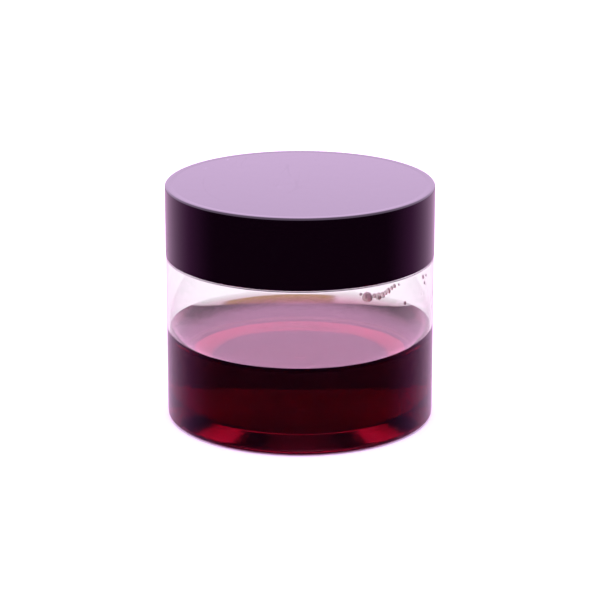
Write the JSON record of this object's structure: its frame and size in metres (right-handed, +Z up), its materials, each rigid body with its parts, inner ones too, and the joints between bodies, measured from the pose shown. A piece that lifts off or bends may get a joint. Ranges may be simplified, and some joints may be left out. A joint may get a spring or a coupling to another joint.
{
  "type": "cosmetic jar",
  "caption": "Low clear cosmetic jar, part filled with dark red liquid, under a smooth straight-sided black screw cap as wide as its wall.",
  "frame": {"origin": "centre of the standing ring, on the plane that the jar stands on", "axes": "+Z up along the common axis of jar and cap; +X and +Y lie in the standing plane; the neck thread starts at +X"},
  "size_m": [0.06, 0.06, 0.0535],
  "materials": {
    "clear_plastic": "clear moulded plastic, glass-smooth inside and out",
    "red_liquid": "dark burgundy translucent liquid with a still, glossy surface",
    "seal_plastic": "natural white moulded polyethylene, satin",
    "black_gloss": "black moulded plastic, high gloss, with faint handling marks",
    "black_inner": "black moulded polypropylene, semi-matt",
    "liner_foam": "white closed-cell polyethylene foam with a film face"
  },
  "bodies": {
    "jar": {"jar_body": "clear_plastic", "product_fill": "red_liquid"},
    "seal": {"seal_disc": "seal_plastic"},
    "liner": {"cap_liner": "liner_foam"},
    "cap": {"cap_shell": "black_gloss", "cap_insert": "black_inner"}
  },
  "joints": [
    {"name": "cap_lift", "type": "slide", "parent": "jar", "child": "liner", "axis": [0, 0, 1], "range_m": [0, 0.02117]},
    {"name": "cap_turn", "type": "hinge", "parent": "liner", "child": "cap", "pos_m": [0, 0, 0.0455], "axis": [0, 0, 1], "range_deg": [0, 1800]},
    {"name": "disc_lift", "type": "slide", "parent": "jar", "child": "seal", "axis": [0, 0, 1], "range_m": [0, 0.00706]}
  ],
  "couplings": [
    {"joint": "cap_lift", "follows": "cap_turn", "m_per_rad": 0.00067376},
    {"joint": "disc_lift", "follows": "cap_turn", "m_per_rad": 0.00022459}
  ]
}
